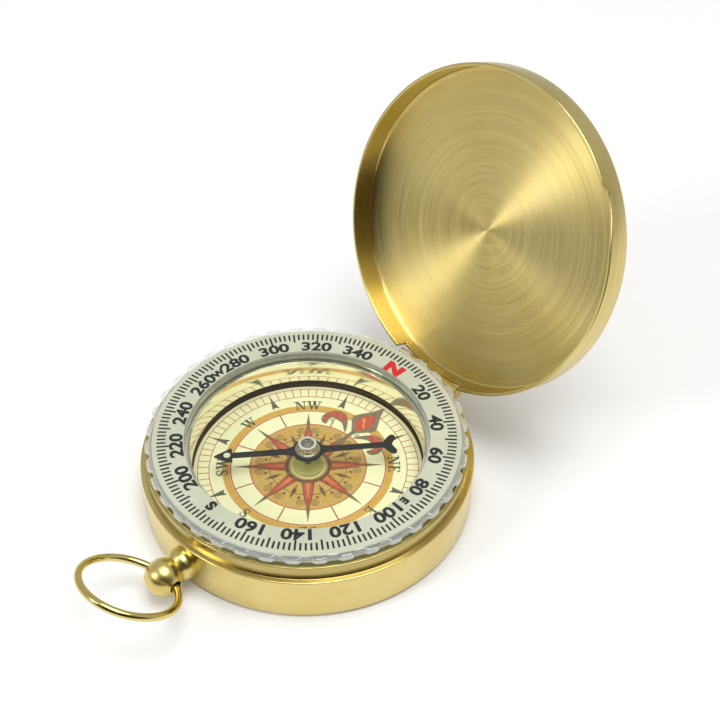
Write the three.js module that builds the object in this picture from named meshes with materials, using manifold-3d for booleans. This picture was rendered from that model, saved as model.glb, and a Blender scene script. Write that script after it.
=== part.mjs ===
import * as THREE from "three";
import { mergeVertices } from "three/addons/utils/BufferGeometryUtils.js";
import Module from "manifold-3d";

const wasm = await Module();
wasm.setup();

// Brass pocket compass with a hinged lid, millimetres, origin at the centre of the case's underside,
// +Z up, +Y towards the hinge. The lid stands open and the bow ring is raised.

// Case
const caseR = 25;
const ledgeZ = 7.5; // the shoulder the closed lid lands over
const shoulder = 0.8; // width of that shoulder
const lipH = 2.3; // spigot the closed lid slides over
const lipT = 0.7;
const floorT = 0.9;
const edgeRound = 0.8;
const lipR = caseR - shoulder;
const lipZ = ledgeZ + lipH;
const boreR = lipR - lipT;

// Lid
const lidHeight = 4.4;
const lidWall = 0.5;
const lidTopT = 0.45;
const mouthGap = 0.05; // between the closed lid's mouth and the ledge
const openAngle = 110.44;
const notchAzimuth = -37;
const notchWidth = 6.6;
const notchDepth = 0.9;
const mouthZ = ledgeZ + mouthGap;
const lidTopZ = mouthZ + lidHeight;
const ceilingZ = lidTopZ - lidTopT;

// Hinge, its pin along X
const pinR = 0.35;
const knuckleT = 0.5; // wall of a knuckle
const hingeHalf = 6.3; // half length of the whole knuckle row
const midHalf = 2; // half length of the lid's own knuckle
const slip = 0.05; // round pieces that only pass through each other
const endGap = 0.1; // between neighbouring knuckles
const sweepGap = 0.18; // between the lid's cut edge and the knuckles it swings round
const knuckleR = pinR + knuckleT;
const hingeY = caseR - 0.05;
const hingeZ = ledgeZ + knuckleR + 0.07;

// Glass, and the rotating bezel with its scale ring let into the top
const mirrorR = 17.5;
const glassSink = 0.1; // glass seat below the top of the lip
const turnGap = 0.15; // round everything that turns
const lidClear = 0.15; // closed lid over the bezel
const glassLowZ = lipZ - glassSink;
const bezelLowZ = lipZ + turnGap;
const bezelTopZ = ceilingZ - lidClear;
const bezelBore = mirrorR + 0.6;
const scaleT = 0.35;
const scaleSink = 0.05; // scale's face below the bezel's rim
const scaleInR = bezelBore + 0.2;
const toothCount = 40;
const toothDepth = 0.55;
const rimT = 0.45; // clear rim between the scale and the teeth
const toothTipR = lipR - 0.2;
const toothRootR = toothTipR - toothDepth;
const scaleOutR = toothRootR - rimT;
const glassR = bezelBore - turnGap;
const glassTopZ = bezelTopZ - 0.1;

// Capsule, from the case floor up
const padT = 2;
const cupFloorT = 1;
const dialT = 0.5;
const cupBore = mirrorR + 1;
const cupR = cupBore + 0.9;
const padZ = floorT + padT;
const cupFloorZ = padZ + cupFloorT;
const cupTopZ = glassLowZ - 0.5;
const dialR = mirrorR - 0.1;
const dialZ = cupFloorZ + dialT;
const mirrorH = 3.7;
const mirrorLowZ = glassLowZ - mirrorH;

// Snap skirt that holds the bezel down, in a groove of the carrier ring
const skirtInR = cupR + 2.2;
const skirtT = 0.6;
const skirtDrop = 1.05;
const beadOut = 0.25;
const beadH = 0.3;
const skirtOutR = skirtInR + skirtT;
const skirtLowZ = bezelLowZ - skirtDrop;
const beadR = skirtOutR + beadOut;

// Needle and its bearing
const capTopZ = glassLowZ - 0.3;
const capRise = 1.45; // cap above the blade
const bladeT = 0.25;
const bladeLowZ = capTopZ - capRise - bladeT;
const hubR = 2.5;
const hubBore = 1.5;
const tipR = 14.05;
const tailR = 13.5;
const needleAzimuth = -126;
const capR = hubBore + 0.38;
const jewelR = 0.55;
const pivotTipZ = capTopZ - 1;

// Crown and bow
const crownAzimuth = -85;
const crownZ = 4.03;
const ballR = 2.78;
const neck = 1.12; // ball's nearest point off the case wall
const crownR = caseR + neck + ballR; // distance of the ball's centre from the case's axis
const collarR = 2.5;
const shankR = 0.8;
const bowR = 7.1;
const bowWire = 0.58;
const bowSag = bowR - Math.sqrt(bowR * bowR - ballR * ballR); // wire's curve within the ball
const bowHole = bowWire + bowSag / 2 + 0.09;
const bowRaise = 29.5;

const brass = [0xcdb970, 0.32, 1];
const wide = 72; // segments round the large turned pieces
const fine = 32; // segments round the small ones

// ---------- solids ----------

function solid(geometry) {
  const flat = geometry.index ? geometry.toNonIndexed() : geometry;
  const bare = new THREE.BufferGeometry().setAttribute("position", flat.getAttribute("position"));
  const merged = mergeVertices(bare, 1e-4);
  const p = merged.attributes.position.array;
  const kept = [];
  let volume = 0;
  for (let i = 0; i < merged.index.count; i += 3) {
    const [a, b, c] = merged.index.array.slice(i, i + 3);
    if (a === b || b === c || c === a) continue;
    kept.push([a, b, c]);
    const [A, B, C] = [a, b, c].map((k) => new THREE.Vector3(p[3 * k], p[3 * k + 1], p[3 * k + 2]));
    volume += A.dot(B.cross(C));
  }
  if (volume < 0) kept.forEach((t) => t.reverse());
  return new wasm.Manifold(
    new wasm.Mesh({ numProp: 3, vertProperties: p, triVerts: new Uint32Array(kept.flat()) }),
  );
}

// A profile of [radius, height] pairs turned about Z.
function turned(profile, segments = wide) {
  const points = profile.map(([r, z]) => new THREE.Vector2(r, z));
  return solid(new THREE.LatheGeometry(points, segments).rotateX(Math.PI / 2));
}

// A ring of rectangular section.
function ring(inner, outer, low, high, segments = wide) {
  return turned([[inner, low], [outer, low], [outer, high], [inner, high], [inner, low]], segments);
}

function disc(radius, low, high, segments = wide) {
  return turned([[0, low], [radius, low], [radius, high], [0, high]], segments);
}

function box(x0, x1, y0, y1, z0, z1) {
  const g = new THREE.BoxGeometry(x1 - x0, y1 - y0, z1 - z0);
  return solid(g.translate((x0 + x1) / 2, (y0 + y1) / 2, (z0 + z1) / 2));
}

// A rod along X about the hinge line.
function hingeRod(radius, x0, x1, segments = 24) {
  const g = new THREE.CylinderGeometry(radius, radius, x1 - x0, segments).rotateZ(Math.PI / 2);
  return solid(g.translate((x0 + x1) / 2, hingeY, hingeZ));
}

function plate(outline, low, high) {
  const shape = new THREE.Shape(outline.map(([x, y]) => new THREE.Vector2(x, y)));
  const g = new THREE.ExtrudeGeometry(shape, { depth: high - low, bevelEnabled: false });
  return solid(g.translate(0, 0, low));
}

function arc(cx, cz, radius, from, to, steps) {
  return Array.from({ length: steps + 1 }, (_, i) => {
    const a = THREE.MathUtils.degToRad(from + ((to - from) * i) / steps);
    return [cx + radius * Math.cos(a), cz + radius * Math.sin(a)];
  });
}

// A rod along X through the origin's height.
function alongRod(radius, x0, x1, segments = 32) {
  const g = new THREE.CylinderGeometry(radius, radius, x1 - x0, segments).rotateZ(Math.PI / 2);
  return solid(g.translate((x0 + x1) / 2, 0, 0));
}

// From "+X outward, ball's centre at the origin" to the crown's place on the case.
const atCrown = (s) => s.translate([crownR, 0, crownZ]).rotate([0, 0, crownAzimuth]);

// ---------- case and hinge ----------

const reliefHalf = hingeHalf + 0.4;
const relief = box(-reliefHalf, reliefHalf, hingeY - knuckleR - 0.1, caseR + 2, ledgeZ, lipZ + 1);
const footDrop = 1.9; // foot of the hinge below the ledge
const slotY = lipR - 0.45;
const slotLowZ = ledgeZ - footDrop;
const slot = box(-hingeHalf - slip, hingeHalf + slip, slotY - slip, caseR + 2, slotLowZ, ledgeZ + 1);
const shankBore = atCrown(alongRod(shankR + slip, boreR - crownR - 1, 0));
const caseBody = turned([
  [0, 0],
  ...arc(caseR - edgeRound, edgeRound, edgeRound, -90, 0, 5),
  [caseR, ledgeZ - 0.1],
  [caseR - 0.1, ledgeZ],
  [lipR, ledgeZ],
  [lipR, lipZ - 0.1],
  [lipR - 0.1, lipZ],
  [boreR, lipZ],
  [boreR, floorT],
  [0, floorT],
])
  .subtract(relief)
  .subtract(slot)
  .subtract(shankBore);

const stopOut = knuckleR + 0.5; // shelf that the open lid comes to rest on
const stopTopZ = hingeZ - 0.62;
const shelfLowZ = ledgeZ - 0.5;
const midCut = midHalf + endGap;
const knuckles = hingeRod(knuckleR, -hingeHalf, hingeHalf)
  .add(box(-hingeHalf, hingeHalf, hingeY - knuckleR, hingeY, shelfLowZ, hingeZ))
  .add(box(-hingeHalf, hingeHalf, hingeY - 0.6, hingeY + stopOut, shelfLowZ, stopTopZ))
  .subtract(box(-midCut, midCut, hingeY - 3, hingeY + 3, ledgeZ - slip, lipZ + 2));
const foot = box(-hingeHalf, hingeHalf, slotY, caseR, slotLowZ, ledgeZ - slip).intersect(
  disc(caseR - slip, 0, lipZ),
);
const caseLug = knuckles.add(foot).subtract(hingeRod(pinR + slip, -hingeHalf - 1, hingeHalf + 1));

const pin = hingeRod(pinR, -hingeHalf - 0.1, hingeHalf + 0.1, 20);

// ---------- lid, drawn closed ----------

const leafTopZ = hingeZ + knuckleR + 1.25;
const cutHalf = hingeHalf + 0.5;
const leafCut = midHalf + slip;
const knuckleCut = box(-cutHalf, cutHalf, hingeY - 3, caseR + 2, 0, hingeZ + knuckleR + sweepGap)
  .add(box(-leafCut, leafCut, hingeY - 3, caseR + 2, 0, leafTopZ + slip));
const thumbR = (notchWidth * notchWidth) / 8 / notchDepth + notchDepth / 2;
const thumbRoll = new THREE.CylinderGeometry(thumbR, thumbR, 6, 48).rotateZ(Math.PI / 2);
const thumbNotch = solid(thumbRoll.translate(caseR, 0, mouthZ + notchDepth - thumbR)).rotate([
  0,
  0,
  notchAzimuth,
]);
const lidR = caseR - lidWall;
const lidFillet = 0.4;
const lidShell = turned([
  [0, lidTopZ],
  ...arc(caseR - edgeRound, lidTopZ - edgeRound, edgeRound, 90, 0, 5),
  [caseR, mouthZ],
  [lidR, mouthZ],
  ...arc(lidR - lidFillet, ceilingZ - lidFillet, lidFillet, 0, 90, 3),
  [0, ceilingZ],
])
  .subtract(knuckleCut)
  .subtract(thumbNotch);

const lidLug = hingeRod(knuckleR, -midHalf, midHalf)
  .add(box(-midHalf, midHalf, hingeY - 0.42, hingeY - 0.02, hingeZ, leafTopZ))
  .subtract(hingeRod(pinR + slip, -midHalf - 1, midHalf + 1));

// ---------- capsule ----------

const seatingPad = disc(cupBore - 0.5, floorT, padZ, 64);
const capsuleCup = turned([
  [0, padZ],
  [cupR, padZ],
  [cupR, cupTopZ],
  [cupBore, cupTopZ],
  [cupBore, cupFloorZ],
  [0, cupFloorZ],
]);
const nutRoom = 2.2; // half width of the pocket for the crown's nut
const nutPocket = atCrown(box(boreR - 3.4 - crownR, boreR - crownR + 1, -nutRoom, nutRoom, -2, 2));
const carrierTopZ = glassLowZ - 0.1;
const carrierInR = cupR + 0.1;
const carrierOutR = boreR - 0.15;
const grooveR = cupR + 1; // middle of the friction ring's groove
const grooveHalf = 0.4;
const snapTopZ = skirtLowZ + beadH + turnGap;
const carrierRing = turned([
  [carrierInR, floorT],
  [carrierOutR, floorT],
  [carrierOutR, carrierTopZ],
  [skirtOutR + turnGap, carrierTopZ],
  [skirtOutR + turnGap, snapTopZ],
  [beadR + turnGap, snapTopZ],
  [beadR + turnGap, skirtLowZ - turnGap],
  [skirtInR - turnGap, skirtLowZ - turnGap],
  [skirtInR - turnGap, carrierTopZ],
  [grooveR + grooveHalf + slip, carrierTopZ],
  [grooveR + grooveHalf + slip, cupTopZ],
  [grooveR - grooveHalf - slip, cupTopZ],
  [grooveR - grooveHalf - slip, carrierTopZ],
  [carrierInR, carrierTopZ],
  [carrierInR, floorT],
]).subtract(nutPocket);
const frictionRing = ring(grooveR - grooveHalf, grooveR + grooveHalf, cupTopZ, bezelLowZ);

const pivotR = 0.35;
const bossShank = 0.9;
const bossR = 2.7;
const dialPlate = ring(bossShank + 0.1, dialR, cupFloorZ, dialZ);
const pivotBoss = turned(
  [
    [pivotR + slip, cupFloorZ],
    [bossShank, cupFloorZ],
    [bossShank, dialZ],
    [bossR, dialZ],
    [bossR, dialZ + 0.3],
    [bossR - 0.5, dialZ + 0.55],
    [bossR - 1.6, dialZ + 0.8],
    [pivotR + slip, dialZ + 0.8],
    [pivotR + slip, cupFloorZ],
  ],
  fine,
);
const pivotPin = turned(
  [[0, cupFloorZ], [pivotR, cupFloorZ], [pivotR, pivotTipZ - 0.9], [0, pivotTipZ]],
  24,
);

const mirrorRing = turned([
  [mirrorR, mirrorLowZ],
  [cupBore - 0.1, mirrorLowZ],
  [cupBore - 0.1, cupTopZ],
  [cupR, cupTopZ],
  [cupR, glassLowZ],
  [mirrorR, glassLowZ],
  [mirrorR, mirrorLowZ],
]);

// ---------- needle, drawn along +X ----------

function mirrored(half) {
  return [...half, ...half.map(([x, y]) => [x, -y]).reverse()];
}
const bladeTopZ = bladeLowZ + bladeT;
const headBase = tipR - 2.7;
const headHalf = 1.4;
const armHalf = 0.62;
const blade = plate(
  mirrored([
    [tipR, 0.08],
    [headBase + 0.2, headHalf],
    [headBase, 0.5],
    [hubR + 0.6, armHalf],
    [hubR - 0.4, 1.3],
  ]),
  bladeLowZ,
  bladeTopZ,
);
const tail = plate(
  mirrored([
    [-tailR + 0.7, 0.35],
    [-tailR + 0.15, 1.25],
    [-tailR + 0.2, 1.8],
    [-tailR + 0.75, 1.95],
    [-tailR + 1.3, 1.5],
    [-tailR + 2.1, 0.5],
    [-hubR - 0.6, armHalf],
    [-hubR + 0.4, 1.3],
  ]),
  bladeLowZ,
  bladeTopZ,
);
const needleBlade = blade
  .add(tail)
  .add(disc(hubR, bladeLowZ, bladeTopZ, 48))
  .subtract(disc(hubBore, bladeLowZ - 1, bladeLowZ + 1, fine));

const jewelLowZ = pivotTipZ - 0.15;
const jewelTopZ = capTopZ - 0.45;
const jewelSeat = jewelR + 0.03;
const needleCap = turned(
  [
    [0, capTopZ],
    [capR - 0.68, capTopZ],
    [capR - 0.53, capTopZ - 0.12],
    [capR - 0.38, bladeTopZ + 0.45],
    [capR, bladeTopZ + 0.3],
    [capR, bladeTopZ],
    [hubBore - slip, bladeTopZ],
    [hubBore - slip, bladeLowZ - 0.2],
    [hubBore - 0.55, bladeLowZ - 0.2],
    [jewelSeat, jewelLowZ - 0.1],
    [jewelSeat, jewelTopZ],
    [0, jewelTopZ],
  ],
  fine,
);
const needleJewel = turned(
  [[0, jewelTopZ], [jewelR, jewelTopZ], [jewelR, jewelLowZ], [0.25, jewelLowZ], [0, pivotTipZ + 0.1]],
  24,
);

// ---------- glass and bezel ----------

const glass = turned([
  [0, glassLowZ],
  [glassR, glassLowZ],
  [glassR, glassTopZ - 0.15],
  [glassR - 0.15, glassTopZ],
  [0, glassTopZ],
]);
const scaleTopZ = bezelTopZ - scaleSink;
const scaleLowZ = scaleTopZ - scaleT;
const scaleRing = ring(scaleInR, scaleOutR, scaleLowZ, scaleTopZ);

// One lobe per tooth: root, flank, tip, tip, flank.
const pitch = 360 / toothCount;
const toothOutline = Array.from({ length: toothCount * 6 }, (_, i) => {
  const share = [0, 0.14, 0.3, 0.55, 0.72, 0.86][i % 6];
  const r = [toothRootR, toothRootR + 0.15, toothTipR, toothTipR, toothTipR - 0.4, toothRootR][i % 6];
  const a = THREE.MathUtils.degToRad((Math.floor(i / 6) + share) * pitch);
  return [r * Math.cos(a), r * Math.sin(a)];
});
const rimR = scaleOutR + 0.05;
const bezel = turned([
  [bezelBore, bezelLowZ],
  [skirtInR, bezelLowZ],
  [skirtInR, skirtLowZ],
  [beadR, skirtLowZ],
  [beadR, skirtLowZ + beadH],
  [skirtOutR, skirtLowZ + beadH],
  [skirtOutR, bezelLowZ],
  [toothRootR - 0.1, bezelLowZ],
  [toothRootR - 0.1, bezelTopZ],
  [rimR, bezelTopZ],
  [rimR, scaleLowZ],
  [bezelBore, scaleLowZ],
  [bezelBore, bezelLowZ],
]).add(plate(toothOutline, bezelLowZ + 0.45, bezelTopZ - 0.1).subtract(disc(rimR, 0, 20)));

// ---------- crown and bow ----------

const acrossRod = (radius, length) => solid(new THREE.CylinderGeometry(radius, radius, length, 32));
const ball = (radius) => solid(new THREE.SphereGeometry(radius, 28, 18));
const nutInX = boreR - 1.25 - crownR;
const crownBall = ball(ballR)
  .add(alongRod(shankR, nutInX, -1))
  .subtract(acrossRod(bowHole, 8));
const collarInX = caseR - crownR - 0.3;
const collarOutX = collarInX + 2.6;
const collarBore = shankR + slip;
const collarProfile = [
  [collarBore, collarInX],
  [collarR - 0.2, collarInX],
  [collarR, collarInX + 0.9],
  [collarR - 0.1, collarInX + 1.5],
  [collarR - 0.45, collarInX + 2.1],
  [collarR - 1, collarOutX],
  [collarBore, collarOutX],
  [collarBore, collarInX],
];
const crownCollar = turned(collarProfile, fine)
  .rotate([0, 90, 0])
  .subtract(ball(ballR + slip))
  .subtract(disc(caseR + slip, -5, 5).translate([-crownR, 0, 0]));
const nutR = 1.6;
const crownNut = alongRod(nutR, nutInX, boreR - crownR - 0.15, 6).subtract(
  alongRod(shankR + slip, nutInX - 1, 0),
);

const bowCentre = bowR - bowSag / 2; // its curve lies evenly about the hole's line
const bowRing = turned(arc(bowR, 0, bowWire, 0, 360, 12), 60).translate([bowCentre, 0, 0]);

// ---------- the assembly ----------

function group(parent, x = 0, y = 0, z = 0) {
  const g = new THREE.Group();
  g.position.set(x, y, z);
  parent?.add(g);
  return g;
}

function piece(parent, name, made, [colour, roughness, metalness]) {
  const m = made.getMesh();
  const g = new THREE.BufferGeometry();
  g.setAttribute("position", new THREE.BufferAttribute(m.vertProperties, 3));
  g.setIndex(new THREE.BufferAttribute(m.triVerts, 1));
  g.computeVertexNormals();
  const mesh = new THREE.Mesh(g, new THREE.MeshStandardMaterial({ color: colour, roughness, metalness }));
  mesh.name = name;
  parent.add(mesh);
}

const compass = group();
const hingeLine = group(compass, 0, hingeY, hingeZ);
hingeLine.rotation.x = THREE.MathUtils.degToRad(-openAngle);
const lid = group(hingeLine, 0, -hingeY, -hingeZ);
const needle = group(compass);
needle.rotation.z = THREE.MathUtils.degToRad(needleAzimuth);
const crownLine = group(compass);
crownLine.rotation.z = THREE.MathUtils.degToRad(crownAzimuth);
const crown = group(crownLine, crownR, 0, crownZ);
const bow = group(crown);
bow.rotation.y = THREE.MathUtils.degToRad(-bowRaise);

piece(compass, "case_body", caseBody, brass);
piece(compass, "case_hinge_lug", caseLug, brass);
piece(compass, "hinge_pin", pin, brass);
piece(lid, "lid_shell", lidShell, brass);
piece(lid, "lid_hinge_lug", lidLug, brass);
piece(compass, "seating_pad", seatingPad, [0x3a3a34, 0.95, 0]);
piece(compass, "carrier_ring", carrierRing, [0x26241f, 0.6, 0]);
piece(compass, "friction_ring", frictionRing, [0x1a1a1a, 0.8, 0]);
piece(compass, "capsule_cup", capsuleCup, [0x3b3018, 0.45, 0]);
piece(compass, "dial_plate", dialPlate, [0xf6efc0, 0.6, 0]);
piece(compass, "pivot_boss", pivotBoss, [0xa89f4c, 0.35, 1]);
piece(compass, "pivot_pin", pivotPin, [0xb9bcc0, 0.2, 1]);
piece(compass, "mirror_ring", mirrorRing, [0xd8dad6, 0.12, 1]);
piece(needle, "needle_blade", needleBlade, [0x0d0d0e, 0.35, 0.3]);
piece(needle, "needle_cap", needleCap, [0xe6e8e2, 0.08, 0]);
piece(needle, "needle_jewel", needleJewel, [0x6a4a2c, 0.25, 0]);
piece(compass, "glass_disc", glass, [0xdfe6df, 0.05, 0]);
piece(compass, "scale_ring", scaleRing, [0xcdd2be, 0.6, 0]);
piece(compass, "bezel_ring", bezel, [0xe3eae2, 0.1, 0]);
piece(crown, "crown_collar", crownCollar, brass);
piece(crown, "crown_ball", crownBall, brass);
piece(crown, "crown_nut", crownNut, brass);
piece(bow, "bow_ring", bowRing, brass);

export default compass;
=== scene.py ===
import math
import bpy
import numpy as np
from mathutils import Matrix


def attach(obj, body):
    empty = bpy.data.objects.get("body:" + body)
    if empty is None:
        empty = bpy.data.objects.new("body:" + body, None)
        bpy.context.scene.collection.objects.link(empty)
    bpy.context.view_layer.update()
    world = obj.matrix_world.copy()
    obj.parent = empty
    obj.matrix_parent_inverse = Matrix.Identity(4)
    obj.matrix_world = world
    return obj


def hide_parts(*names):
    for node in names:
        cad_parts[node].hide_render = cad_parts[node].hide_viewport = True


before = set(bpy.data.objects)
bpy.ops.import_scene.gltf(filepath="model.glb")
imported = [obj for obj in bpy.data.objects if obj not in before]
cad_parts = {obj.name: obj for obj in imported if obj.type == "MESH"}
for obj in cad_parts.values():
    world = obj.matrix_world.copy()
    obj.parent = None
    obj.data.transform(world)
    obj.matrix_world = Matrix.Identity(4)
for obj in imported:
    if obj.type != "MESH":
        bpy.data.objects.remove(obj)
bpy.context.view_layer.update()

mm = 0.001
pi = math.pi


def say(words):
    print("geology compass:", words)


# Fillet: each inner corner of an open outline is swapped for an arc of the given radius.
# The arc's centre lies on the corner's bisector, radius / sin(half angle) from the corner.
# A point may carry a radius of its own as its third number.
def rounded(points, radius, steps=4):
    pts = [np.array(p[:2], float) for p in points]
    radii = [p[2] if len(p) > 2 else radius for p in points]
    out = [pts[0]]
    for before, here, after, want in zip(pts[:-2], pts[1:-1], pts[2:], radii[1:-1]):
        a, b = before - here, after - here
        la, lb = np.linalg.norm(a), np.linalg.norm(b)
        a, b = a / la, b / lb
        half = math.acos(float(np.clip(a @ b, -1, 1))) / 2
        if want <= 0 or half > 1.5:
            out.append(here)
            continue
        cut = min(want / math.tan(half), 0.45 * la, 0.45 * lb)
        r = cut * math.tan(half)
        centre = here + (a + b) / np.linalg.norm(a + b) * r / math.sin(half)
        start, end = here + a * cut - centre, here + b * cut - centre
        sweep = math.acos(float(np.clip(start @ end / r / r, -1, 1)))
        share = np.linspace(0, 1, steps + 1)[:, None]
        arc = (start * np.sin((1 - share) * sweep) + end * np.sin(share * sweep)) / math.sin(sweep)
        out.extend(centre + arc)
    out.append(pts[-1])
    return np.array(out)


# A closed section: the outline is rounded at every corner but its first.
def section(points, radius, steps=4):
    return rounded(points + [points[0]], radius, steps)[:-1]


# Signed volume: the sum over fans of triangles of a . (b x c) / 6, negative when inside out.
def signedVolume(verts, faces):
    total = 0.0
    for group in faces:
        corners = verts[group]
        for k in range(1, corners.shape[1] - 1):
            total += np.einsum("ij,ij->i", corners[:, 0], np.cross(corners[:, k], corners[:, k + 1])).sum()
    return total / 6


# A smooth mesh, sharp where faces meet past the given angle, from vertices in metres and arrays
# of quads and triangles. Every face corner may have a UV pair.
def makeMesh(name, verts, faces, uvs=None, material=None, angle=35):
    flip = signedVolume(verts, faces) < 0
    faces = [f[:, ::-1] if flip else f for f in faces]
    mesh = bpy.data.meshes.new(name)
    mesh.from_pydata(verts.tolist(), [], [row for f in faces for row in f.tolist()])
    if uvs is not None:
        uvs = [u[:, ::-1] if flip else u for u in uvs]
        layer = mesh.uv_layers.new(name="turning")
        layer.data.foreach_set("uv", np.concatenate([u.reshape(-1) for u in uvs]))
    mesh.polygons.foreach_set("use_smooth", np.ones(len(mesh.polygons), bool))
    mesh.set_sharp_from_angle(angle=math.radians(angle))
    made = bpy.data.objects.new(name, mesh)
    bpy.context.scene.collection.objects.link(made)
    if material:
        mesh.materials.append(material)
    return made


# Grid [station, step, xyz] to faces. It closes round the steps. A ring section also closes along
# the stations, and a profile that meets the axis gets one vertex and a fan at that pole.
def gridFaces(grid, ringSection, along):
    rows, around = grid.shape[:2]
    k = np.arange(around)
    nxt = (k + 1) % around
    u0, u1 = k / around, (k + 1) / around
    poleStart = not ringSection and np.ptp(grid[0], axis=0).max() < 1e-9
    poleEnd = not ringSection and np.ptp(grid[-1], axis=0).max() < 1e-9
    first, last = (1 if poleStart else 0), (rows - 1 if poleEnd else rows)
    verts = grid[first:last].reshape(-1, 3)
    n = last - first
    lower = np.arange(n if ringSection else n - 1)
    upper = (lower + 1) % n
    low, high = lower[:, None] * around, upper[:, None] * around
    quads = np.stack([low + k, low + nxt, high + nxt, high + k], 2).reshape(-1, 4)
    va = along[first + lower][:, None] + 0 * u0
    vb = np.where(upper > lower, along[first + upper], along[first + lower] + 0.0005)[:, None] + 0 * u0
    ua, ub = u0 + 0 * va, u1 + 0 * va
    quadUv = np.stack([ua, va, ub, va, ub, vb, ua, vb], 2).reshape(-1, 4, 2)
    tris, triUv = [], []
    ends = [(0, 0, -1)] * int(poleStart) + [(rows - 1, (n - 1) * around, 1)] * int(poleEnd)
    for row, base, order in ends:
        tip = np.full(around, len(verts))
        verts = np.vstack([verts, grid[row, :1]])
        edge = 0 * u0 + along[first if row == 0 else last - 1]
        middle = 0 * u0 + along[row]
        tri = np.stack([base + k, base + nxt, tip], 1)
        uv = np.stack([u0, edge, u1, edge, (u0 + u1) / 2, middle], 1).reshape(-1, 3, 2)
        tris.append(tri[:, ::order])
        triUv.append(uv[:, ::order])
    if not tris:
        return verts, [quads], [quadUv]
    return verts, [quads, np.concatenate(tris)], [quadUv, np.concatenate(triUv)]


# Turned piece: the profile's point (r, z) at angle t is (r cos t, r sin t, z), in mm.
# bend(r, z, t) may change r and z over the grid, and place(points) carries it to its place.
def turned(name, profile, material, around=192, ringSection=False, angles=None, bend=None, place=None,
           angle=35):
    profile = np.asarray(profile, float)
    t = np.linspace(0, 2 * pi, around, endpoint=False) if angles is None else angles
    r, z = profile[:, :1] + 0 * t, profile[:, 1:2] + 0 * t
    t = t + 0 * r
    if bend:
        r, z = bend(r, z, t)
    grid = np.stack([r * np.cos(t), r * np.sin(t), z], 2)
    along = np.concatenate([[0], np.cumsum(np.linalg.norm(np.diff(profile, axis=0), axis=1))])
    if place:
        grid = place(grid.reshape(-1, 3)).reshape(grid.shape)
    verts, faces, uvs = gridFaces(grid * mm, ringSection, along * mm)
    return makeMesh(name, verts, faces, uvs, material, angle)


# Prism: the outline's points at two heights, two flat ends and a quad for each side.
def prism(outline, low, high):
    flat = np.asarray(outline, float)
    x, y = flat.T
    area = (x * np.roll(y, -1) - y * np.roll(x, -1)).sum()
    flat = flat[::-1] if area < 0 else flat
    n = len(flat)
    k, nxt = np.arange(n), (np.arange(n) + 1) % n
    verts = np.concatenate([np.c_[flat, np.full(n, low)], np.c_[flat, np.full(n, high)]])
    sides = np.stack([k, nxt, n + nxt, n + k], 1).tolist()
    return verts, [k[::-1].tolist(), (n + k).tolist()] + sides


# Flat ring: four circles, inner and outer at two heights, joined by quads.
def flatRing(inner, outer, low, high, around=180, centre=(0, 0)):
    t = np.linspace(0, 2 * pi, around, endpoint=False)
    circles = [(inner, low), (outer, low), (outer, high), (inner, high)]
    verts = [np.c_[centre[0] + r * np.cos(t), centre[1] + r * np.sin(t), 0 * t + z] for r, z in circles]
    k, nxt = np.arange(around), (np.arange(around) + 1) % around
    low4 = np.arange(4)[:, None] * around
    high4 = (np.arange(4)[:, None] + 1) % 4 * around
    faces = np.stack([low4 + k, low4 + nxt, high4 + nxt, high4 + k], 2).reshape(-1, 4)
    return np.concatenate(verts), faces.tolist()


# One object from several (vertices, faces) pairs in mm, turned round Z into its place.
def gathered(name, parts, material, turn=0):
    verts, faces, start = [], [], 0
    for partVerts, partFaces in parts:
        verts.append(partVerts)
        faces += [[start + i for i in face] for face in partFaces]
        start += len(partVerts)
    points = turnZ(np.concatenate(verts), turn) * mm
    mesh = bpy.data.meshes.new(name)
    mesh.from_pydata(points.tolist(), [], faces)
    mesh.materials.append(material)
    made = bpy.data.objects.new(name, mesh)
    bpy.context.scene.collection.objects.link(made)
    return made


def turnZ(points, degrees):
    c, s = math.cos(math.radians(degrees)), math.sin(math.radians(degrees))
    out = np.array(points, float)
    x, y = points[..., 0], points[..., 1]
    out[..., 0] = c * x - s * y
    out[..., 1] = s * x + c * y
    return out


# The piece rides on a body and may stand for CAD nodes, which it hides; its slot is not used.
def fit(piece, body, slot, *nodes):
    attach(piece, body)
    if nodes:
        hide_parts(*nodes)
    return piece


# sRGB 0-255 to the linear colour that shaders use.
def shade(red, green, blue):
    c = np.array([red, green, blue]) / 255
    return tuple(np.where(c > 0.04045, ((c + 0.055) / 1.055) ** 2.4, c / 12.92).tolist()) + (1.0,)


def addNode(tree, kind, inputs=None, **settings):
    made = tree.nodes.new(kind)
    for key, value in settings.items():
        setattr(made, key, value)
    for key, value in (inputs or {}).items():
        if isinstance(value, bpy.types.NodeSocket):
            tree.links.new(value, made.inputs[key])
        else:
            made.inputs[key].default_value = value
    return made


def newFinish(name):
    made = bpy.data.materials.new(name)
    made.use_nodes = True
    made.node_tree.nodes.clear()
    return made, made.node_tree


def mathNode(tree, operation, *values):
    return addNode(tree, "ShaderNodeMath", dict(enumerate(values)), operation=operation).outputs[0]


def noiseOf(tree, vector, scale, detail=3.0, rough=0.55):
    inputs = {"Vector": vector, "Scale": scale, "Detail": detail, "Roughness": rough}
    return addNode(tree, "ShaderNodeTexNoise", inputs).outputs[0]


def spread(tree, value, low, high, fromLow=0.3, fromHigh=0.7):
    inputs = {"Value": value, "From Min": fromLow, "From Max": fromHigh, "To Min": low, "To Max": high}
    return addNode(tree, "ShaderNodeMapRange", inputs).outputs[0]


def blendTones(tree, amount, first, second):
    return addNode(tree, "ShaderNodeMix", {0: amount, 6: first, 7: second}, data_type="RGBA").outputs[2]


def objectSpot(tree):
    return addNode(tree, "ShaderNodeTexCoord").outputs["Object"]


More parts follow.
